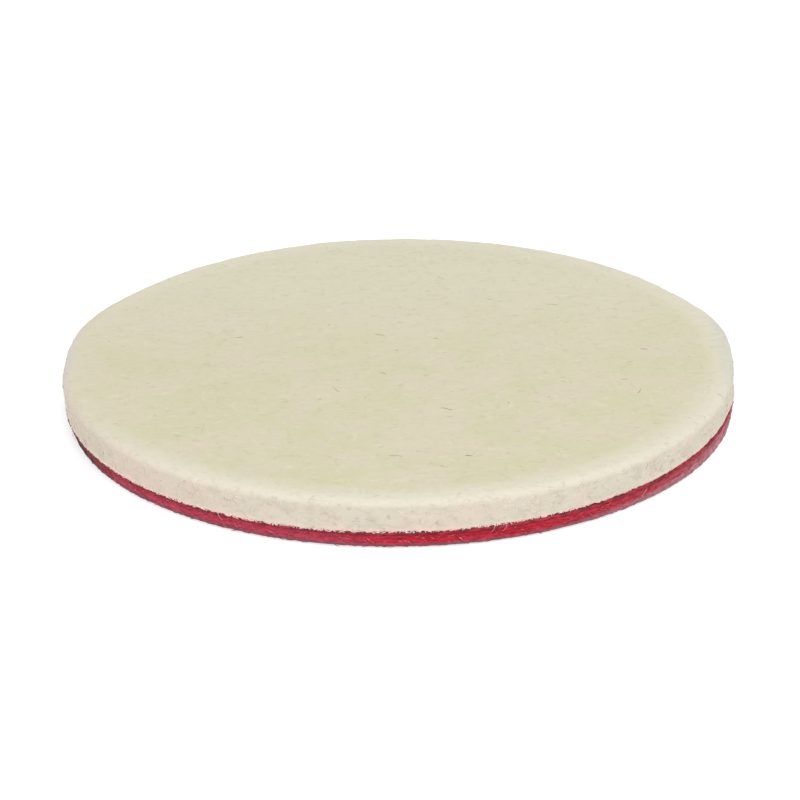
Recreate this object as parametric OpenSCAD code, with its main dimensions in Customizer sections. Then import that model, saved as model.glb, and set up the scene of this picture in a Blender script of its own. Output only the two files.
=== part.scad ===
// Felt polishing disc with a hook-and-loop backing.
//
// A disc of pressed wool felt polishes on its upper face. Under it a film of
// adhesive bonds the loop fabric, a knitted ground cloth with a raised pile of
// loops, which grips the hooks of a backing pad. The layers are glued for life,
// so nothing moves.
//
// Frame: +Z is the disc's axis and points out of the polishing face. The origin
// is the middle of the loop face, which lies on the pad or the bench at Z = 0.

/* [Felt disc] */
// Diameter of the felt
felt_d = 125; // [75:1:180]
// Thickness of the felt
felt_t = 6; // [4:0.5:12]
// Radius of the worn edge round the polishing face
face_edge_r = 2; // [0.5:0.1:2.5]
// Radius of the edge beside the backing
back_edge_r = 0.4; // [0.1:0.1:0.6]

/* [Loop backing] */
// Thickness of the adhesive film
film_t = 0.35; // [0.1:0.05:0.6]
// Thickness of the knitted ground cloth
cloth_t = 0.9; // [0.5:0.1:1.5]
// Height of the raised loops
pile_t = 1.75; // [1:0.05:2.5]
// How far the backing's rim stays inside the felt's rim
backing_inset = 0.6; // [0.6:0.1:2]
// Sideways offset of the backing, as laid by hand
backing_shift = 0.5; // [0:0.1:0.5]
// How far the adhesive stops short of the cloth's rim
film_inset = 0.5; // [0.2:0.1:1]
// Radius of the cut edge of the ground cloth
cloth_edge_r = 0.25; // [0.1:0.05:0.25]
// Radius of the brushed lower edge of the pile
pile_edge_r = 0.7; // [0.2:0.1:0.9]

/* [Hidden] */
$fn = 180;

felt_r = felt_d / 2;
backing_r = felt_r - backing_inset;
film_r = backing_r - film_inset;

// Heights of the faces where the layers meet, from the bench up.
cloth_z = pile_t;
film_z = cloth_z + cloth_t;
felt_z = film_z + film_t;

// A disc of radius r and thickness t on Z = 0, with its lower and upper edges
// rounded to low_r and high_r. An edge radius of 0 leaves that edge square.
module layer(r, t, low_r, high_r) {
    rotate_extrude()
        intersection() {
            square([r, t]);
            union() {
                square([r - max(low_r, high_r), t]);
                translate([0, low_r]) square([r, t - low_r - high_r]);
                edge_round(r, low_r, low_r);
                edge_round(r, t - high_r, high_r);
            }
        }
}

// The quarter rounds of one edge, as a circle centred at height z.
module edge_round(r, z, edge_r) {
    if (edge_r > 0) {
        translate([r - edge_r, z]) circle(r = edge_r);
        translate([0, z - edge_r]) square([r - edge_r, 2 * edge_r]);
    }
}

module felt_disc() {
    color("#dbd4b8")
        translate([0, 0, felt_z])
            layer(felt_r, felt_t, back_edge_r, face_edge_r);
}

module adhesive_film() {
    color("#5c1f28")
        translate([backing_shift, 0, film_z])
            layer(film_r, film_t, 0, 0);
}

module backing_cloth() {
    color("#bc2d42")
        translate([backing_shift, 0, cloth_z])
            layer(backing_r, cloth_t, cloth_edge_r, cloth_edge_r);
}

module loop_pile() {
    color("#c8354c")
        translate([backing_shift, 0, 0])
            layer(backing_r, pile_t, pile_edge_r, 0);
}

felt_disc();
adhesive_film();
backing_cloth();
loop_pile();
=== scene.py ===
"""Looks of a felt polishing disc with a hook-and-loop backing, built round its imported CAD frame.

From the top down: a pressed wool felt with its own loose fibres, a line of dried glue,
the knitted ground cloth with its cut edge, and the pile of nylon loops that grips the pad.
"""

import math
import random

import bpy
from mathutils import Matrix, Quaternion, Vector
from mathutils.bvhtree import BVHTree


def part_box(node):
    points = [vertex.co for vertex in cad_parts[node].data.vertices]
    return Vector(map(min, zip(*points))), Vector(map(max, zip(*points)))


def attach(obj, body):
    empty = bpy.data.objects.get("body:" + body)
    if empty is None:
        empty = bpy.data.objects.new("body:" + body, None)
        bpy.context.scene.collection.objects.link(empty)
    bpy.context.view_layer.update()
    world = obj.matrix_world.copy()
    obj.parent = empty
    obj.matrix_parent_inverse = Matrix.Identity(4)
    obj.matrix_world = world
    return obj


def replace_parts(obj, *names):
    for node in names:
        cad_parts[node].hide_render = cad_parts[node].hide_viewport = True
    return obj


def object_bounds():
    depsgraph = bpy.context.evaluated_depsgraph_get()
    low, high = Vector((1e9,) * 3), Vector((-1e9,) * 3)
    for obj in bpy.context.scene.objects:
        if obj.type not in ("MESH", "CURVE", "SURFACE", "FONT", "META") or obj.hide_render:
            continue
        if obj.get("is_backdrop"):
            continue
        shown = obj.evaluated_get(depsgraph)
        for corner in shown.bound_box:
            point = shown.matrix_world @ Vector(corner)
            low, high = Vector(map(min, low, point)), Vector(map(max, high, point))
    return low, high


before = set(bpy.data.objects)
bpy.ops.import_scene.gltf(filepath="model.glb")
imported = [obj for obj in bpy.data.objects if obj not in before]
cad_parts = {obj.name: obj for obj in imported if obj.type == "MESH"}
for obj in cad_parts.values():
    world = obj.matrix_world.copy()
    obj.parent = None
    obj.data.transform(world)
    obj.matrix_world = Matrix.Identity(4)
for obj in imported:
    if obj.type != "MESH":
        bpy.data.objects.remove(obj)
cad_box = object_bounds()

MM = 0.001
UP = Vector((0, 0, 1))
DOWN = Vector((0, 0, -1))

# Felt
felt_low, felt_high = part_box("felt_disc")
FELT_R = (felt_high.x - felt_low.x) / 2
FACE_Z = felt_high.z
LIP_Z = felt_low.z
EDGE_R = 1.4 * MM  # how far down the worn, rounded edge of the polishing face reaches
EDGE_IN = 1.7 * MM  # and how far in
LIP_R = 0.4 * MM  # the rounding of the felt's lower lip
TAPER = 0.3 * MM  # how much less the felt's radius is at its lower lip
LIP_OUT = 0.65 * MM  # how far the lower lip is drawn out over the cloth at +X
SHARPER = 0.7  # the share of the rounding that is missing at a shoulder, where the edge is less worn
# Shoulders: (side, angle from +X and reach either way in degrees, bulge in mm, way along X)
SHOULDERS = (("right", 12.5, 18.5, 0.45, 1), ("left", 163, 17, 0.3, -1))

# Backing, a little to one side of the felt because it was stuck on by hand
cloth_low, cloth_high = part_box("backing_cloth")
film_low, film_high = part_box("adhesive_film")
pile_low, pile_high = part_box("loop_pile")
BACKING = Vector(((cloth_low.x + cloth_high.x) / 2, (cloth_low.y + cloth_high.y) / 2, 0))
CLOTH_R = (cloth_high.x - cloth_low.x) / 2
FILM_R = (film_high.x - film_low.x) / 2
PILE_R = (pile_high.x - pile_low.x) / 2
PILE_T = pile_high.z - pile_low.z
PACKED = 2.5 * MM  # how far in from the rim the pile is packed down
OPEN = 0.42 * MM  # how much higher its roots lie inside that, so that the loops stand clear

SEAM_RISE = 0.55 * MM  # how much higher the seam runs towards +X, where the cloth was pulled up
LEVEL, RISEN = 4 * MM, 14 * MM  # how far from the X axis the seam is level again and fully risen

# Long wisps over the red edge: (angle from +X in degrees, how far the tip leans along the rim in mm)
WISPS = [
    (285, -0.9), (287, -1.0), (314, -2.2), (343, -0.6),
    (41, 1.2), (118, -1.0), (197, 1.5), (240, 0.7),
]

# How many strands of each kind there are, apart from the wisps
FACE_FIBRES = 450
FACE_LOCKS = 250  # of each tone: a dark copy for painted shade and a pale copy for painted light
EDGE_FIBRES = 1500
LIP_FIBRES = 2600
WALL_CURLS = 230
DARK_HAIRS = 34
RIM_YARNS = 1300
CUT_ENDS = 260
RIM_LOOPS = 3600
FACE_LOOPS = 6100  # in each half of the loop face


# Modelling

def start_clean():
    """Nothing is selected, because an operator acts on all that is."""
    if bpy.context.object and bpy.context.object.mode != "OBJECT":
        bpy.ops.object.mode_set(mode="OBJECT")
    bpy.ops.object.select_all(action="DESELECT")


def run(start, end, count):
    """The points of a straight run of an outline, without its first one."""
    return [tuple(a + (b - a) * i / count for a, b in zip(start, end)) for i in range(1, count + 1)]


def arc(centre, reach, rise, first, last, count):
    """Points along a round or oval stretch, from one angle to another in degrees, without the first."""
    angles = [math.radians(first + (last - first) * i / count) for i in range(1, count + 1)]
    return [(centre[0] + reach * math.cos(a), centre[1] + rise * math.sin(a)) for a in angles]


def turned(name, outline, steps, centre=Vector((0, 0, 0))):
    """A piece turned as on a lathe, from an outline of (radius, height) points from axis to axis."""
    start_clean()
    radius, height = outline[0]
    bpy.ops.mesh.primitive_plane_add(size=MM, location=centre + Vector((radius, 0, height)))
    piece = bpy.context.object
    piece.name = piece.data.name = name
    bpy.ops.object.transform_apply(location=True)
    bpy.ops.object.mode_set(mode="EDIT")
    bpy.ops.mesh.select_mode(type="VERT")
    bpy.ops.mesh.select_all(action="SELECT")
    bpy.ops.mesh.merge(type="CENTER")
    for (r0, z0), (r1, z1) in zip(outline, outline[1:]):
        bpy.ops.mesh.extrude_region_move(TRANSFORM_OT_translate={"value": (r1 - r0, 0, z1 - z0)})
    bpy.ops.mesh.select_all(action="SELECT")
    bpy.ops.mesh.spin(steps=steps, angle=math.tau, center=centre, axis=UP)
    bpy.ops.mesh.select_all(action="SELECT")
    bpy.ops.mesh.remove_doubles(threshold=0.001 * MM)
    bpy.ops.mesh.normals_make_consistent(inside=False)
    bpy.ops.object.mode_set(mode="OBJECT")
    bpy.ops.object.shade_smooth()
    return piece


def weighted(piece, name, share_at):
    """A vertex group that says how far each point takes part, from its place."""
    group = piece.vertex_groups.new(name=name)
    for vertex in piece.data.vertices:
        group.add([vertex.index], min(1, max(0, share_at(vertex.co))), "REPLACE")
    return name


def roughened(piece, size, depth, group, direction="NORMAL"):
    """Pushes the surface in and out by a cloudy texture with lumps of that size."""
    texture = bpy.data.textures.new(piece.name + "_lumps", "CLOUDS")
    texture.noise_scale = size
    displace = piece.modifiers.new("lumps", "DISPLACE")
    displace.texture = texture
    displace.texture_coords = "LOCAL"
    displace.direction = direction
    displace.mid_level = 0.5
    displace.strength = depth
    displace.vertex_group = group
    bpy.context.view_layer.objects.active = piece
    bpy.ops.object.modifier_apply(modifier=displace.name)


def pushed(piece, group, direction, distance):
    """Moves the points of a vertex group along an axis, each as far as its weight says."""
    displace = piece.modifiers.new("push", "DISPLACE")
    displace.direction = direction
    displace.mid_level = 0.0
    displace.strength = distance
    displace.vertex_group = group
    bpy.context.view_layer.objects.active = piece
    bpy.ops.object.modifier_apply(modifier=displace.name)


def smooth(value, low, high):
    """0 below low, 1 above high and smooth between; low may be the greater."""
    share = min(1, max(0, (value - low) / (high - low)))
    return share * share * (3 - 2 * share)


def pulled_up(place):
    """The share of SEAM_RISE that the seam between felt and cloth has at a place."""
    return max(0, place.x / FELT_R) ** 2 * smooth(abs(place.y), LEVEL, RISEN)


def strands(name, threads):
    """One piece of many strands, each (points, thickness), swept with a three-cornered section."""
    start_clean()
    section = bpy.data.objects.new("section", bpy.data.curves.new("section", "CURVE"))
    corners = section.data.splines.new("POLY")
    corners.points.add(2)
    for corner, angle in zip(corners.points, (90, 210, 330)):
        corner.co = (math.cos(math.radians(angle)), math.sin(math.radians(angle)), 0, 1)
    corners.use_cyclic_u = True
    curve = bpy.data.curves.new(name, "CURVE")
    curve.dimensions = "3D"
    curve.bevel_mode = "OBJECT"
    curve.bevel_object = section
    curve.use_fill_caps = True
    for points, thickness in threads:
        spline = curve.splines.new("POLY")
        spline.points.add(len(points) - 1)
        spline.points.foreach_set("co", [x for point in points for x in (*point, 1)])
        last = len(points) - 1
        taper = [0.35 + 0.65 * math.sin(math.pi * i / last) ** 0.5 for i in range(last + 1)]
        spline.points.foreach_set("radius", [thickness / 2 * share for share in taper])
    piece = bpy.data.objects.new(name, curve)
    bpy.context.scene.collection.objects.link(piece)
    bpy.context.view_layer.objects.active = piece
    piece.select_set(True)
    bpy.ops.object.convert(target="MESH")
    piece = bpy.context.object
    bpy.ops.object.shade_smooth()
    bpy.data.objects.remove(section)
    return piece


def on_rim(radius, angle, height, centre=Vector((0, 0, 0))):
    """A point on a round wall, its angle in degrees from +X."""
    a = math.radians(angle)
    return centre + Vector((radius * math.cos(a), radius * math.sin(a), height))


def toward(angle):
    """The level direction at an angle in degrees from +X."""
    return on_rim(1, angle, 0)


def walked(skin, start, heading, length, pace, curl, lift, dice):
    """The points of a strand that wanders over a skin, standing lift(share of its length) off it."""
    steps = max(3, round(length / pace))
    place = start
    points = []
    for step in range(steps + 1):
        spot, normal, _, _ = skin.find_nearest(place)
        points.append(spot + normal * lift(step / steps))
        heading = (heading - normal * heading.dot(normal)).normalized()
        heading.rotate(Quaternion(normal, dice.gauss(0, curl)))
        place = spot + heading * pace
    return points


# Finishes

def shade(red, green, blue):
    """A colour as the eye reads it, 0 to 255, made the linear colour that a shader takes."""
    channels = (c / 255 for c in (red, green, blue))
    return (*(c / 12.92 if c <= 0.04045 else ((c + 0.055) / 1.055) ** 2.4 for c in channels), 1)


class Reading:
    """What a node gives out. Sums on readings add Math nodes, so a pattern reads as a formula."""

    def __init__(self, finish, output):
        self.finish = finish
        self.output = output

    def __add__(self, other):
        return self.finish.maths("ADD", self, other)

    __radd__ = __add__

    def __sub__(self, other):
        return self.finish.maths("SUBTRACT", self, other)

    def __rsub__(self, other):
        return self.finish.maths("SUBTRACT", other, self)

    def __mul__(self, other):
        return self.finish.maths("MULTIPLY", self, other)

    __rmul__ = __mul__


class Finish:
    """A material, and the nodes that give it its colour and grain."""

    def __init__(self, name, **uniform):
        self.material = bpy.data.materials.new(name)
        self.material.use_nodes = True
        self.tree = self.material.node_tree
        self.shader = self.tree.nodes["Principled BSDF"]
        for socket, value in uniform.items():
            self.shader.inputs[socket.replace("_", " ")].default_value = value

    def give(self, socket, value):
        """Links a reading to a socket, or sets its value."""
        if isinstance(value, Reading):
            self.tree.links.new(value.output, socket)
        else:
            socket.default_value = value

    def node(self, kind, settings=None, inputs=None, output=0):
        """Adds a node with its settings, fills its sockets, and returns one of its outputs."""
        added = self.tree.nodes.new("ShaderNode" + kind)
        for name, value in (settings or {}).items():
            setattr(added, name, value)
        for name, value in (inputs or {}).items():
            self.give(added.inputs[name], value)
        return Reading(self, added.outputs[output])

    def maths(self, operation, *values):
        return self.node("Math", {"operation": operation}, dict(enumerate(values)))

    def vectors(self, operation, *values, output=0):
        return self.node("VectorMath", {"operation": operation}, dict(enumerate(values)), output)

    def mixed(self, first, second, share):
        """The first colour with a share of the second."""
        return self.node("Mix", {"data_type": "RGBA"}, {0: share, 6: first, 7: second}, 2)

    def step(self, value, low, high):
        """0 below low, 1 above high and smooth between; low may be the greater."""
        settings = {"interpolation_type": "SMOOTHSTEP"}
        return self.node("MapRange", settings, {"Value": value, "From Min": low, "From Max": high})

    def place(self):
        """The point on the piece, in millimetres."""
        here = self.node("TexCoord", output=3)
        return self.node("VectorMath", {"operation": "SCALE"}, {0: here, "Scale": 1 / MM})

    def grain(self, place, size, turn=0, detail=2.0, shift=0.0):
        """Noise with blotches of size, or (x, y, z), millimetres, turned about the axis by turn degrees."""
        laid = {
            "Vector": place,
            "Location": (shift, shift, 0),
            "Rotation": (0, 0, math.radians(turn)),
            "Scale": size if isinstance(size, tuple) else (size, size, size),
        }
        turned_place = self.node("Mapping", {"vector_type": "TEXTURE"}, laid)
        return self.node("TexNoise", None, {"Vector": turned_place, "Scale": 1.0, "Detail": detail})

    def wavered(self, place, size, reach):
        """The place pushed about, so that straight streaks bend as fibres do."""
        push = self.node("TexNoise", None, {"Vector": place, "Scale": 1 / size, "Detail": 1.0}, 1)
        centred = self.vectors("SUBTRACT", push, (0.5, 0.5, 0.5))
        return self.vectors("ADD", place, self.vectors("MULTIPLY", centred, (reach, reach, reach)))

    def radius(self, place):
        """How far the point is from the disc's axis, in millimetres."""
        return self.vectors("LENGTH", self.vectors("MULTIPLY", place, (1, 1, 0)), output=1)

    def height(self, place):
        """How high the point is, in millimetres."""
        return self.node("SeparateXYZ", None, {"Vector": place}, 2)

    def side(self, place):
        """How far along X the point is, in millimetres."""
        return self.node("SeparateXYZ", None, {"Vector": place}, 0)

    def depth(self, place):
        """How far along Y the point is, in millimetres."""
        return self.node("SeparateXYZ", None, {"Vector": place}, 1)

    def over_seam(self, place):
        """How high the point is, in millimetres, less the seam's rise."""
        share = self.maths("MAXIMUM", self.side(place) * (MM / FELT_R), 0.0)
        off_end = self.step(self.maths("ABSOLUTE", self.depth(place)), LEVEL / MM, RISEN / MM)
        return self.height(place) - share * share * off_end * (SEAM_RISE / MM)

    def done(self, colour, roughness, relief, depth):
        """Joins colour, roughness and relief to the shader; depth is the relief's, in metres."""
        self.give(self.shader.inputs["Base Color"], colour)
        self.give(self.shader.inputs["Roughness"], roughness)
        bump = self.node("Bump", None, {"Height": relief, "Distance": depth, "Strength": 1.0})
        self.give(self.shader.inputs["Normal"], bump)
        return self.material


def sheened(name, weight, tint):
    """A finish of fine fibres, which catch the light where they are seen edge on."""
    return Finish(name, Sheen_Weight=weight, Sheen_Tint=tint, Sheen_Roughness=0.5, Specular_IOR_Level=0.2)


def pressed_wool():
    """Undyed wool, pressed hard on the face and softer on the worn edge and the wall; paler on the wall,
    with a painted highlight on the worn edge.
    """
    wool = sheened("pressed_wool", 0.08, (1, 0.97, 0.9, 1))
    place = wool.place()
    across = wool.side(place)
    mottle = wool.grain(place, 1.8, detail=1.0)
    wall = wool.step(wool.radius(place), FELT_R / MM - 2.2, FELT_R / MM - 0.4)

    colour = wool.mixed(face_tone(wool, place), wall_tone(wool, place), wall)
    # painted highlight on the worn, rounded edge
    colour = wool.mixed(colour, shade(203, 198, 181), painted_edge_highlight(wool, place) * 0.9)
    # painted sheen: greyer and bluer right at the -X end of the wall
    colour = wool.mixed(colour, shade(192, 188, 182), wool.step(across, -59.5, -62.0) * 0.8)
    high = wool.step(wool.height(place), FACE_Z / MM - 4.0, FACE_Z / MM - 1.5)
    colour = wool.mixed(colour, shade(186, 186, 178), wool.step(across, 58.5, 61.5) * high * 0.5)
    # painted red light: the wall pinker just above the red cloth, with a ragged top
    ragged = wool.over_seam(place) + (mottle - 0.5) * 1.2
    near_red = wool.step(ragged, LIP_Z / MM + 1.1, LIP_Z / MM + 0.1)
    colour = wool.mixed(colour, shade(220, 190, 180), near_red * wall * 0.8)

    bent = wool.wavered(place, 9.0, 4.0)
    streaks = [wool.grain(bent, (3.0, 0.8, 0.8), turn, 0.0, turn) for turn in (-17, 4, 26, 98)]
    pale = sum(wool.step(streak, 0.68, 0.84) for streak in streaks)
    dark = sum(wool.step(streak, 0.32, 0.16) for streak in streaks)
    # painted light and shade: pale and dark streaks stand for the lit and shaded sides of fibres in relief
    colour = wool.mixed(colour, shade(211, 207, 188), wool.maths("MINIMUM", pale * 0.2, 0.5))
    colour = wool.mixed(colour, shade(172, 165, 138), wool.maths("MINIMUM", dark * 0.18, 0.4))
    colour = wool.mixed(colour, shade(186, 177, 156), wool.step(mottle, 0.58, 0.7) * 0.25)

    fuzz = wool.grain(place, 0.35, detail=3.0)
    relief = (pale - dark) * 0.34 + fuzz * 0.08 + mottle * 0.55
    return wool.done(colour, 0.86 + fuzz * 0.12, relief, 0.055 * MM)


def face_tone(wool, place):
    """The polishing face: cream with faint olive and pinkish patches, and painted light that makes it paler
    towards +Y.
    """
    patches = wool.grain(place, 11.0)
    blush = wool.grain(place, 7.0, shift=40.0)
    face = wool.mixed(shade(191, 187, 157), shade(195, 188, 164), wool.step(patches, 0.38, 0.62))
    face = wool.mixed(face, shade(197, 186, 168), wool.step(blush, 0.55, 0.72) * 0.5)
    # painted light: paler and more neutral towards +Y
    return wool.mixed(face, shade(197, 194, 171), wool.step(wool.depth(place), -15.0, 50.0) * 0.9)


def wall_tone(wool, place):
    """The wall: grey and pink patches, pinker towards -X, with a greyer, darker band near that end."""
    blush = wool.grain(place, 7.0, shift=40.0)
    clumps = wool.grain(place, (4.5, 4.5, 2.6), shift=70.0)
    across = wool.side(place)
    side = wool.mixed(shade(195, 189, 172), shade(199, 187, 172), wool.step(blush, 0.42, 0.62))
    side = wool.mixed(side, shade(183, 174, 158), wool.step(clumps, 0.52, 0.66) * 0.45)
    side = wool.mixed(side, shade(204, 184, 171), wool.step(across, -15.0, -50.0) * 0.6)
    greyer_band = wool.step(across, -49.0, -54.0) * wool.step(across, -61.0, -57.5)
    return wool.mixed(side, shade(186, 180, 162), greyer_band * 0.5)


def painted_edge_highlight(wool, place):
    """Where the rounded edge gets a painted highlight: all round, but less and less towards -X."""
    worn = wool.step(wool.radius(place), FELT_R / MM - 7.0, FELT_R / MM - 1.2)
    worn = worn * wool.step(wool.height(place), FACE_Z / MM - 1.5, FACE_Z / MM - 0.5)
    return worn * wool.step(wool.side(place), -70.0, -35.0)


def loose_wool(name, dull, bright):
    """Single wool fibres and small locks of them, each a little paler or darker than the next."""
    wool = sheened(name, 0.1, (1, 0.97, 0.9, 1))
    place = wool.place()
    kind = wool.grain(place, 1.6, detail=1.0)
    colour = wool.mixed(dull, bright, wool.step(kind, 0.36, 0.62))
    scales = wool.grain(place, 0.12)
    return wool.done(colour, 0.8 + kind * 0.15, scales, 0.01 * MM)


def lip_wool():
    """Wool at the lower lip of the felt, pink with painted red light from the cloth that it lies against.
    """
    wool = sheened("lip_wool", 0.1, (1, 0.92, 0.9, 1))
    place = wool.place()
    kind = wool.grain(place, 1.2, detail=1.0)
    low = wool.step(wool.over_seam(place), LIP_Z / MM, LIP_Z / MM - 0.7)
    colour = wool.mixed(shade(236, 208, 198), shade(249, 227, 218), wool.step(kind, 0.38, 0.62))
    # painted red light, strongest low on the lip
    colour = wool.mixed(colour, shade(222, 150, 148), low * 0.6)
    scales = wool.grain(place, 0.12)
    return wool.done(colour, 0.8 + kind * 0.15, scales, 0.01 * MM)


def dark_hair():
    """Coarse dark hairs and bits of chaff, which the wool was never combed free of."""
    hair = sheened("dark_hair", 0.05, (1, 1, 1, 1))
    place = hair.place()
    kind = hair.grain(place, 4.0, detail=1.0)
    colour = hair.mixed(shade(124, 115, 92), shade(172, 162, 132), hair.step(kind, 0.4, 0.6))
    scales = hair.grain(place, 0.1)
    return hair.done(colour, 0.7 + kind * 0.2, scales, 0.01 * MM)


def dried_glue():
    """Contact adhesive, stained dark by the red cloth and darkened further as painted shade of the crevice
    under the felt.
    """
    glue = Finish("dried_glue", Specular_IOR_Level=0.35)
    place = glue.place()
    stain = glue.grain(place, (1.6, 1.6, 0.5), detail=3.0)
    crust = glue.grain(place, 0.4, detail=3.0)
    colour = glue.mixed(shade(104, 16, 30), shade(156, 36, 52), glue.step(stain, 0.4, 0.65))
    # painted shadow: darker towards -X, where the felt overhangs the backing
    colour = glue.mixed(colour, shade(66, 42, 38), glue.step(glue.side(place), -50.0, -60.0))
    return glue.done(colour, 0.5 + crust * 0.3, crust, 0.12 * MM)


def crimson_yarn(name, deep, mid, bright, sunk=0.0):
    """Dyed nylon: painted shade and painted highlights laid over it by noise as hollows and crowns; roots
    sunk inside the rim get painted shade.
    """
    yarn = sheened(name, 0.12, (1, 0.7, 0.76, 1))
    place = yarn.place()
    tone = yarn.grain(place, (2.4, 2.4, 0.35), detail=3.0)
    crown = yarn.grain(place, (0.9, 0.9, 0.28), detail=2.0, shift=15.0)
    # painted shade and highlight: deep and bright tones laid by noise
    colour = yarn.mixed(deep, mid, yarn.step(tone, 0.34, 0.56))
    colour = yarn.mixed(colour, bright, yarn.step(crown, 0.56, 0.72) * 0.8)
    # painted shade on the roots sunk inside the rim
    inside = yarn.step(yarn.radius(place), PILE_R / MM - 1.0, PILE_R / MM - 3.0)
    colour = yarn.mixed(colour, shade(124, 12, 32), inside * sunk)
    return rim_tint_and_painted_light(yarn, place, colour, crown)


def rim_tint_and_painted_light(yarn, place, colour, crown):
    """Round the rim: more violet towards -X with painted shadow at the -X end, and painted light from the
    pale floor low down, most towards +X.
    """
    rim = yarn.step(yarn.radius(place), PILE_R / MM - 4.0, PILE_R / MM - 1.5)
    right = yarn.step(yarn.side(place), 20.0, 60.0) * rim
    far_right = yarn.step(yarn.side(place), 46.0, 62.0) * rim
    left = yarn.step(yarn.side(place), -48.0, -58.5) * rim
    # painted light reflected from the pale floor onto the lower rim, reaching higher towards +X
    ragged = yarn.height(place) + (crown - 0.5) * 0.8 - right * 0.8
    floor_lit_share = yarn.step(ragged, 1.0, 0.4) * rim
    floor_lit_tone = yarn.mixed(shade(136, 80, 92), shade(184, 134, 142), right)
    violet_share = yarn.step(yarn.side(place), 0.0, -14.0) * rim
    colour = yarn.mixed(colour, shade(164, 104, 130), violet_share * 0.19)
    colour = yarn.mixed(colour, floor_lit_tone, floor_lit_share * 0.9)
    # painted light from the +X side: paler there, palest at the +X end
    colour = yarn.mixed(colour, shade(158, 84, 96), right * 0.4)
    colour = yarn.mixed(colour, shade(184, 134, 140), far_right * 0.5)
    # painted shadow at the -X end, where the felt overhangs
    colour = yarn.mixed(colour, shade(80, 46, 42), left * 0.85)
    fibre = yarn.grain(place, (0.5, 0.5, 0.1), detail=3.0)
    return yarn.done(colour, 0.55 + fibre * 0.3, fibre + crown, 0.08 * MM)


def crimson_ground():
    """The knitted ground at its cut edge: lengthwise courses, darker at the top, partly soaked with glue
    and partly painted shade under the felt.
    """
    ground = sheened("crimson_ground", 0.12, (1, 0.7, 0.76, 1))
    place = ground.place()
    course = ground.grain(place, (1.8, 1.8, 0.2), detail=3.0)
    stitch = ground.grain(place, (0.45, 0.45, 0.3), detail=2.0)
    ragged = ground.over_seam(place) + (stitch - 0.5) * 1.6
    soaked = ground.step(ragged, film_low.z / MM - 0.5, film_low.z / MM - 0.15)
    colour = ground.mixed(shade(150, 18, 38), shade(182, 32, 54), ground.step(course, 0.36, 0.62))
    colour = ground.mixed(colour, shade(204, 66, 86), ground.step(stitch, 0.6, 0.75) * 0.5)
    # darker top: glue stain and painted shade under the overhanging felt
    colour = ground.mixed(colour, shade(122, 20, 36), soaked * 0.85)
    return rim_tint_and_painted_light(ground, place, colour, stitch)


def pale_floor():
    """A white light table: the floor glows a little, so that shadows on it stay faint."""
    table = Finish("pale_floor", Roughness=0.9, Specular_IOR_Level=0.0, Emission_Strength=0.62)
    table.shader.inputs["Base Color"].default_value = (0.5, 0.5, 0.5, 1)
    table.shader.inputs["Emission Color"].default_value = (1, 1, 1, 1)
    return table.material


def dress(piece, material):
    """Gives a piece its finish and its body."""
    piece.data.materials.clear()
    piece.data.materials.append(material)
    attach(piece, "root")
    return piece


# Felt

def felt_body():
    """The pressed disc: a flat face, a worn edge, a lumpy wall and a lip that isn't quite straight."""
    flat = FELT_R - EDGE_IN
    outline = [(0, FACE_Z)]
    outline += run((0, FACE_Z), (flat, FACE_Z), 50)
    outline += arc((flat, FACE_Z - EDGE_R), EDGE_IN, EDGE_R, 90, 0, 12)
    lip_r = FELT_R - TAPER
    outline += run((FELT_R, FACE_Z - EDGE_R), (lip_r, LIP_Z + LIP_R), 11)
    outline += arc((lip_r - LIP_R, LIP_Z + LIP_R), LIP_R, LIP_R, 0, -90, 3)
    outline += run((lip_r - LIP_R, LIP_Z), (0, LIP_Z), 4)
    felt = turned("felt_body", outline, 900)
    shoulders(felt, flat)
    face = weighted(felt, "face", lambda p: (p.z - LIP_Z) / (FACE_Z - LIP_Z) * 2)
    wall = weighted(felt, "wall", lambda p: (p.xy.length - FELT_R + 2 * EDGE_R) / (2 * EDGE_R))
    lip = weighted(felt, "lip", lambda p: lower(p, 2 * LIP_R, 1.2 * MM))
    low = weighted(felt, "low", lambda p: lower(p, MM, 2 * MM) * pulled_up(p))
    end = weighted(felt, "end", lambda p: lower(p, MM, 3 * MM) * at_end(p))
    pushed(felt, low, "Z", SEAM_RISE)
    pushed(felt, low, "X", TAPER)
    pushed(felt, end, "X", LIP_OUT)
    for size, depth, group in ((14, 0.3, face), (3.5, 0.07, face), (4.5, 0.22, wall), (1.5, 0.1, wall)):
        roughened(felt, size * MM, depth * MM, group)
    roughened(felt, 1.0 * MM, 0.5 * MM, lip, "Z")
    dress(felt, pressed_wool())
    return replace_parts(felt, "felt_disc")


def lower(place, inward, reach):
    """1 at the felt's lower lip, 0 at reach above it and 0 further in than inward."""
    return (place.xy.length > FELT_R - inward) * (1 - (place.z - LIP_Z) / reach)


def at_end(place):
    """1 at the +X end, where the lip is drawn out, and 0 from a little way round."""
    return (place.x > 0) * smooth(abs(place.y), 17 * MM, 5 * MM)


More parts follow.
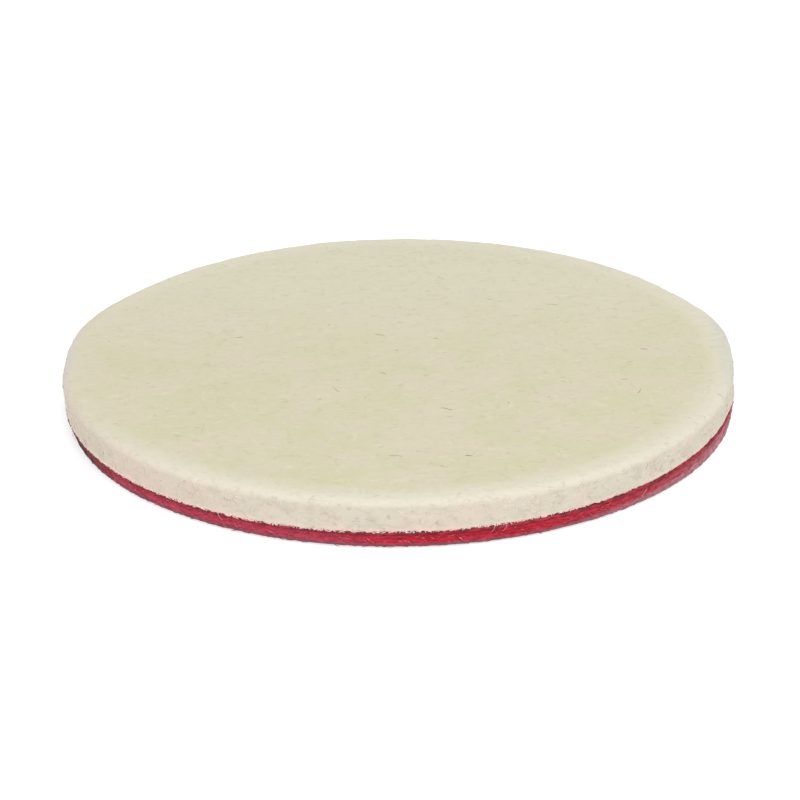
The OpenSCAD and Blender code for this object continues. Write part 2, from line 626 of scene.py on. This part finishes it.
def shoulders(felt, flat):
    """Fills out the rounded edge on two sides, where it is less worn, and bulges the wall there."""
    slack = 0.01 * MM

    def near(place, angle, reach):
        away = abs(math.degrees(math.atan2(place.y, place.x)) - angle)
        return max(0, 1 - (away / reach) ** 2) ** 2

    def upper(place):
        share = (place.z - LIP_Z) / (FACE_Z - EDGE_R - LIP_Z)
        return min(1, max(0, share)) * (place.xy.length > flat - MM)

    def short_of_wall(place):
        on_edge = place.z > FACE_Z - EDGE_R and place.xy.length > flat - slack
        return (FELT_R - place.xy.length) / EDGE_IN * on_edge

    def short_of_face(place):
        return (FACE_Z - place.z) / EDGE_R * (place.z > FACE_Z - EDGE_R - slack)

    for side, angle, reach, bulge, way in SHOULDERS:
        raised = weighted(felt, side + "_raised", lambda p: near(p, angle, reach) * short_of_face(p))
        filled = weighted(felt, side + "_filled", lambda p: near(p, angle, reach) * short_of_wall(p))
        bulged = weighted(felt, side + "_bulged", lambda p: near(p, angle, reach) * upper(p))
        pushed(felt, raised, "Z", EDGE_R * SHARPER)
        pushed(felt, filled, "X", way * EDGE_IN * SHARPER)
        pushed(felt, bulged, "X", way * bulge * MM)


def face_fibres(skin, wool):
    """Fibres pressed into the polishing face, with only their backs standing out of it."""
    dice = random.Random(11)
    threads = []
    for _ in range(FACE_FIBRES):
        radius = (FELT_R - 0.6 * EDGE_R) * math.sqrt(dice.random())
        start = on_rim(radius, dice.uniform(0, 360), FACE_Z)
        heading = toward(dice.uniform(0, 360))
        high = dice.uniform(-0.03, 0.01) * MM
        lift = lambda share: high - 0.05 * MM * (2 * share - 1) ** 4
        length = dice.uniform(1.2, 4.5) * MM
        points = walked(skin, start, heading, length, 0.5 * MM, 0.16, lift, dice)
        threads.append((points, dice.uniform(0.05, 0.09) * MM))
    return dress(strands("felt_face_fibres", threads), wool)


def face_locks(name, seed, skin, wool):
    """Short flattened locks of wool that lie nearly along X, the way the wool was carded."""
    dice = random.Random(seed)
    threads = []
    for _ in range(FACE_LOCKS):
        radius = (FELT_R - 2 * EDGE_R) * math.sqrt(dice.random())
        start = on_rim(radius, dice.uniform(0, 360), FACE_Z)
        heading = toward(dice.choice((0, 180)) + dice.gauss(0, 24))
        thickness = dice.uniform(0.2, 0.5) * MM
        lift = lambda share: 0.045 * MM - thickness / 2 - 0.05 * MM * (2 * share - 1) ** 2
        length = dice.uniform(0.8, 3.0) * MM
        points = walked(skin, start, heading, length, 0.3 * MM, 0.1, lift, dice)
        threads.append((points, thickness))
    return dress(strands(name, threads), wool)


def edge_fibres(skin, wool):
    """Fuzz on the worn edge and the wall: fibres that follow it and lift off at one end."""
    dice = random.Random(12)
    threads = []
    for _ in range(EDGE_FIBRES):
        height = dice.uniform(LIP_Z + 0.3 * MM, FACE_Z)
        angle = dice.uniform(0, 360)
        start = on_rim(FELT_R, angle, height)
        along = toward(angle + 90)
        heading = along * dice.choice((-1, 1)) + UP * dice.gauss(0, 0.7)
        end = max(0.0, dice.gauss(0.0, 0.1)) * MM
        lift = lambda share: end * share ** 3
        length = dice.uniform(0.8, 3.4) * MM
        points = walked(skin, start, heading, length, 0.4 * MM, 0.4, lift, dice)
        threads.append((points, dice.uniform(0.05, 0.09) * MM))
    return dress(strands("felt_edge_fibres", threads), wool)


def wall_curls(skin, wool):
    """Pale crimped ends of wool that stand a little off the wall."""
    dice = random.Random(17)
    threads = []
    for _ in range(WALL_CURLS):
        start = on_rim(FELT_R, dice.uniform(0, 360), dice.uniform(LIP_Z + 0.6 * MM, FACE_Z - 0.8 * MM))
        heading = toward(dice.uniform(0, 360)) + UP * dice.gauss(0, 1)
        end = dice.uniform(0.03, 0.16) * MM
        lift = lambda share: 0.01 * MM + end * share
        points = walked(skin, start, heading, dice.uniform(0.8, 2.2) * MM, 0.2 * MM, 0.75, lift, dice)
        threads.append((points, dice.uniform(0.09, 0.16) * MM))
    return dress(strands("felt_wall_curls", threads), wool)


def hanging_fibre(angle, top, drop, sideways, bow, thickness, pieces=5):
    """A fibre that hangs from the lip over the red edge, leaning sideways and bowed outwards."""
    start = on_rim(FELT_R - TAPER - 0.1 * MM, angle, top)
    out = toward(angle)
    along = toward(angle + 90)
    points = []
    for step in range(pieces + 1):
        share = step / pieces
        belly = math.sin(math.pi * share) * bow
        sway = sideways * share ** 1.7
        points.append(start + along * sway + DOWN * drop * share + out * (belly - 0.2 * MM * share))
    return points, thickness


def lip_fibres(wool):
    """The ragged lower lip, and a few long wisps that cross the red edge."""
    dice = random.Random(13)
    threads = []
    for _ in range(LIP_FIBRES):
        angle = dice.uniform(0, 360)
        tucked = abs(math.cos(math.radians(angle)))
        root = dice.uniform(0.1, 0.7) * MM
        drop = root + (dice.uniform(0.0, 0.45) - 0.2 * tucked) * MM
        sideways = dice.gauss(0, 0.6) * MM
        bow = dice.uniform(0.05, 0.22) * MM
        top = LIP_Z + SEAM_RISE * pulled_up(on_rim(FELT_R, angle, 0)) + root
        threads.append(hanging_fibre(angle, top, drop, sideways, bow, dice.uniform(0.08, 0.17) * MM))
    for angle, sideways in WISPS:
        top = LIP_Z + 0.3 * MM
        drop = (1.2 + abs(sideways) * 0.6) * MM
        threads.append(hanging_fibre(angle, top, drop, sideways * MM, 0.35 * MM, 0.08 * MM, 9))
    return dress(strands("felt_lip_fibres", threads), wool)


def dark_hairs(skin):
    """A few dark hairs and flecks in the polishing face."""
    dice = random.Random(14)
    threads = []
    for _ in range(DARK_HAIRS):
        radius = (FELT_R - EDGE_R) * math.sqrt(dice.random())
        start = on_rim(radius, dice.uniform(0, 360), FACE_Z)
        heading = toward(dice.uniform(0, 360))
        length = dice.choice((0.4, 0.5, 0.7, 1.4, 2.4)) * MM
        points = walked(skin, start, heading, length, length / 5, 0.25, lambda share: 0.02 * MM, dice)
        threads.append((points, dice.uniform(0.05, 0.14) * MM))
    return dress(strands("felt_dark_hairs", threads), dark_hair())


# Backing

def glue_line():
    """The film of glue, with the bead that was squeezed out of it and soaked into the cloth's corner."""
    bead = FILM_R + 0.4 * MM
    bead_r = 0.35 * MM
    outline = [(0, film_high.z)]
    outline += run((0, film_high.z), (bead, film_high.z), 4)
    outline += arc((bead, film_high.z - bead_r), bead_r, bead_r, 90, -90, 8)
    outline += run((bead, film_high.z - 2 * bead_r), (FILM_R - MM, film_low.z), 4)
    outline += run((FILM_R - MM, film_low.z), (0, film_low.z), 3)
    glue = turned("glue_line", outline, 720, BACKING)
    rim = weighted(glue, "rim", lambda p: p.xy.length > FILM_R - 2 * MM)
    high = weighted(glue, "high", lambda p: (p.xy.length > FILM_R - 2 * MM) * pulled_up(p))
    blob = weighted(glue, "blob", lambda p: (p.xy.length > FILM_R) * max(0, -p.x / FILM_R - 0.6) * 2.5)
    pushed(glue, high, "Z", SEAM_RISE)
    pushed(glue, blob, "X", -0.6 * MM)
    roughened(glue, 1.4 * MM, 0.35 * MM, rim)
    roughened(glue, 0.5 * MM, 0.2 * MM, rim)
    dress(glue, dried_glue())
    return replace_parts(glue, "adhesive_film")


def backing_cloth():
    """The knitted ground cloth, a laid sheet whose cut edge shows its courses as low ridges."""
    courses = 2
    corner = 0.42 * MM
    proud = 0.04 * MM
    edge = CLOTH_R - 0.05 * MM
    top, bottom = cloth_high.z, cloth_low.z
    outline = [(0, top)]
    outline += run((0, top), (edge - corner, top), 5)
    outline += arc((edge - corner, top - corner), corner, corner, 90, 0, 5)
    ridge = (top - corner - bottom) / courses
    for course in range(courses):
        height = top - corner - ridge * course
        outline += [(edge + proud, height - ridge * share) for share in (0.25, 0.5, 0.75)]
        outline.append((edge, height - ridge))
    outline += run((edge, bottom), (0, bottom), 5)
    cloth = turned("backing_cloth_sheet", outline, 1080, BACKING)

    def upper(place):
        return (place.xy.length > CLOTH_R - 2 * MM) * (place.z - bottom) / (top - bottom)

    rim = weighted(cloth, "rim", lambda p: (p - BACKING).xy.length > CLOTH_R - MM)
    high = weighted(cloth, "high", lambda p: upper(p) * pulled_up(p))
    pushed(cloth, high, "Z", SEAM_RISE)
    roughened(cloth, 2.6 * MM, 0.16 * MM, rim)
    roughened(cloth, 0.6 * MM, 0.16 * MM, rim)
    dress(cloth, crimson_ground())
    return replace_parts(cloth, "backing_cloth")


def rim_yarns(yarn):
    """Yarns of the cloth's cut edge: short lengths that run along it, some slanting out as cut ends."""
    dice = random.Random(21)
    pieces = 7
    threads = []
    for _ in range(RIM_YARNS):
        angle = dice.uniform(0, 360)
        rise = SEAM_RISE * pulled_up(on_rim(FELT_R, angle, 0))
        height = dice.uniform(cloth_low.z - 0.1 * MM, cloth_high.z - 0.35 * MM + rise)
        length = dice.uniform(0.7, 3.2) * MM
        slant = dice.gauss(0, 0.26)
        sway = dice.uniform(0.03, 0.1) * MM
        proud = CLOTH_R + dice.uniform(-0.04, 0.07) * MM
        phase = dice.uniform(0, math.tau)
        points = []
        for step in range(pieces + 1):
            share = step / pieces
            turn = math.degrees(length * share / CLOTH_R)
            wave = math.sin(phase + share * length / MM * 2.5) * sway
            climb = slant * length * (share - 0.5)
            sink = 0.08 * MM * (2 * share - 1) ** 2
            radius = proud + wave * 0.4 - sink
            points.append(on_rim(radius, angle + turn, height + climb + wave, BACKING))
        threads.append((points, dice.uniform(0.08, 0.17) * MM))
    return dress(strands("cloth_edge_yarns", threads), yarn)


def cut_ends(yarn):
    """Cut ends of the knitting yarn, which stick out between cloth and pile."""
    dice = random.Random(22)
    pieces = 4
    threads = []
    for _ in range(CUT_ENDS):
        angle = dice.uniform(0, 360)
        height = cloth_low.z + dice.gauss(-0.1, 0.28) * MM
        lean = dice.choice((-1, 1)) * dice.uniform(0.25, 0.9)
        length = dice.uniform(0.5, 1.3) * MM
        points = []
        for step in range(pieces + 1):
            share = step / pieces
            turn = math.degrees(length * share * math.cos(lean) / CLOTH_R)
            climb = length * share * math.sin(lean)
            proud = CLOTH_R + (0.02 + 0.1 * math.sin(math.pi * share)) * MM
            points.append(on_rim(proud, angle + turn, height + climb, BACKING))
        threads.append((points, dice.uniform(0.1, 0.17) * MM))
    return dress(strands("cloth_cut_ends", threads), yarn)


def pile_bed():
    """The matted roots of the loops: a soft, bumpy bed under the cloth."""
    under = pile_low.z + 0.04 * MM
    rim = PILE_R - 0.1 * MM
    soft = 0.35 * MM
    outline = [(0, pile_high.z)]
    outline += run((0, pile_high.z), (rim, pile_high.z), 4)
    outline += run((rim, pile_high.z), (rim, under + soft), 4)
    outline += arc((rim - soft, under + soft), soft, soft, 0, -90, 5)
    outline += run((rim - soft, under), (rim - PACKED, under + OPEN), 5)
    outline += run((rim - PACKED, under + OPEN), (0, under + OPEN), 61)
    bed = turned("loop_pile_bed", outline, 840, BACKING)
    body = weighted(bed, "body", lambda p: (p.z < pile_high.z - 0.1 * MM))
    roughened(bed, 1.6 * MM, 0.12 * MM, body)
    return bed


def curl(foot, along, out, width, reach, swing, thickness, pieces=7):
    """A loop of yarn: out of its foot, over, and back beside it, its plane a little twisted."""
    aside = along.cross(out)
    points = []
    for step in range(pieces + 1):
        turn = math.pi * (1.16 * step / pieces - 0.08)
        points.append(foot - along * math.cos(turn) * width / 2 + out * math.sin(turn) * reach
                      + aside * math.sin(2 * turn) * swing)
    return points, thickness


def face_loops(name, half, yarn):
    """The loops of one half of the loop face, in the rows in which they were knitted."""
    dice = random.Random(30 + half)
    gap = 0.95 * MM
    threads = []
    while len(threads) < FACE_LOOPS:
        row = round(dice.uniform(-PILE_R, PILE_R) / gap) * gap
        foot = Vector((row + dice.gauss(0, 0.12) * MM, dice.uniform(0, PILE_R) * (1 - 2 * half), 0))
        if foot.length > PILE_R - 0.7 * MM:
            continue
        foot = foot + BACKING + UP * (pile_low.z + 0.55 * MM)
        along = toward(dice.gauss(90, 38))
        out = (DOWN + toward(dice.uniform(0, 360)) * dice.uniform(0.1, 0.9)).normalized()
        width = dice.uniform(1.0, 2.2) * MM
        reach = dice.uniform(0.3, 0.5) * MM
        swing = dice.gauss(0, 0.15) * MM
        threads.append(curl(foot, along, out, width, reach, swing, dice.uniform(0.15, 0.23) * MM, 5))
    return dress(strands(name, threads), yarn)


def rim_loops(yarn):
    """Loops that stick out round the rim of the pile and soften its lower corner."""
    dice = random.Random(41)
    steepest = 60
    threads = []
    for _ in range(RIM_LOOPS):
        angle = dice.uniform(0, 360)
        tilt = dice.uniform(-8, steepest)
        room = (PILE_T - 0.5 * MM) * (1 - max(tilt, 0) / steepest)
        foot = on_rim(PILE_R - 0.28 * MM, angle, pile_low.z + 0.35 * MM + room * dice.random(), BACKING)
        level, down = math.cos(math.radians(tilt)), math.sin(math.radians(tilt))
        out = (toward(angle) * level + DOWN * down).normalized()
        along = (toward(angle + 90) + UP * dice.gauss(0, 0.2)).normalized()
        width = dice.uniform(0.8, 2.4) * MM
        reach = dice.uniform(0.16, 0.28) * MM
        swing = dice.gauss(0, 0.08) * MM
        threads.append(curl(foot, along, out, width, reach, swing, dice.uniform(0.07, 0.13) * MM))
    return dress(strands("pile_rim_loops", threads), yarn)


# Stage

def studio(floor_height):
    """A pale light table under an even white sky, with soft boxes in front and at the left."""
    scene = bpy.context.scene
    scene.view_settings.view_transform = "Standard"
    world = bpy.data.worlds.new("white_room")
    world.use_nodes = True
    world.node_tree.nodes["Background"].inputs["Color"].default_value = (1, 1, 1, 1)
    world.node_tree.nodes["Background"].inputs["Strength"].default_value = 0.92
    scene.world = world
    start_clean()
    bpy.ops.mesh.primitive_plane_add(size=6, location=(0, 0, floor_height))
    floor = bpy.context.object
    floor.name = "light_table"
    floor.data.materials.append(pale_floor())
    floor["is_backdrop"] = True
    soft_box("front_box", Vector((0.14, -0.42, 0.55)), 0.5, 2.4)
    soft_box("left_box", Vector((-0.55, -0.35, 0.2)), 0.5, 0.4)


def soft_box(name, place, size, power):
    """A square area light that faces the disc."""
    bpy.ops.object.light_add(type="AREA", location=place)
    light = bpy.context.object
    light.name = name
    light.data.size = size
    light.data.energy = power
    light.rotation_euler = (-place).to_track_quat("-Z", "Y").to_euler()


def camera():
    """A long lens from the front, a little above the disc and turned by less than a degree."""
    distance, elevation, roll = 562.5 * MM, math.radians(23.5), math.radians(0.74)
    aside, below = 0.3 * MM, 4.2 * MM  # how far the lens aims beside and under the disc's middle
    low, high = cad_box
    middle = Vector((0, 0, (low.z + high.z) / 2))
    back = Vector((0, -math.cos(elevation), math.sin(elevation)))
    upward = Vector((0, math.sin(elevation), math.cos(elevation)))
    aim = middle + Vector((aside, 0, 0)) - upward * below
    eye = middle + back * distance
    bpy.ops.object.camera_add(location=eye)
    view = bpy.context.object
    view.data.lens = 134.9
    view.data.sensor_width = 36
    view.data.clip_start = 0.01
    view.rotation_mode = "QUATERNION"
    view.rotation_quaternion = (aim - eye).to_track_quat("-Z", "Y") @ Quaternion((0, 0, 1), -roll)
    bpy.context.scene.camera = view


def skin_of(piece):
    """A piece's surface, for strands to follow."""
    return BVHTree.FromObject(piece, bpy.context.evaluated_depsgraph_get())


def build():
    """The whole disc from the top down, then the camera and the studio round it."""
    felt = felt_body()
    skin = skin_of(felt)
    face_fibres(skin, loose_wool("face_wool", shade(190, 185, 157), shade(202, 198, 176)))
    # painted shade and light: the locks are a shaded and a lit copy of one wool
    dark = loose_wool("shaded_lock", shade(158, 150, 120), shade(180, 173, 144))
    face_locks("felt_dark_locks", 15, skin, dark)
    pale = loose_wool("lit_lock", shade(202, 198, 174), shade(213, 209, 190))
    face_locks("felt_pale_locks", 16, skin, pale)
    edge_fibres(skin, loose_wool("edge_wool", shade(206, 200, 185), shade(224, 219, 205)))
    wall_curls(skin, loose_wool("pale_curl", shade(212, 206, 191), shade(224, 218, 206)))
    lip_fibres(lip_wool())
    dark_hairs(skin)

    glue_line()
    cloth = backing_cloth()
    edge_yarn = crimson_yarn("edge_yarn", shade(158, 16, 38), shade(190, 30, 54), shade(214, 66, 86))
    yarns = rim_yarns(edge_yarn)
    # painted highlights: the cut ends are a paler copy of the red yarn, standing for their glints
    cut_yarn = crimson_yarn("cut_yarn", shade(196, 50, 70), shade(218, 92, 108), shade(232, 136, 146))
    ends = cut_ends(cut_yarn)

    tones = shade(146, 16, 38), shade(180, 30, 54), shade(204, 66, 86)
    yarn = crimson_yarn("loop_yarn", *tones)
    roots = crimson_yarn("pile_roots", *tones, sunk=0.85)
    bed = dress(pile_bed(), roots)
    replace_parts(bed, "loop_pile")
    face_loops("pile_face_loops_a", 0, yarn)
    face_loops("pile_face_loops_b", 1, yarn)
    rim_loops(yarn)

    camera()
    studio(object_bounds()[0].z)


build()
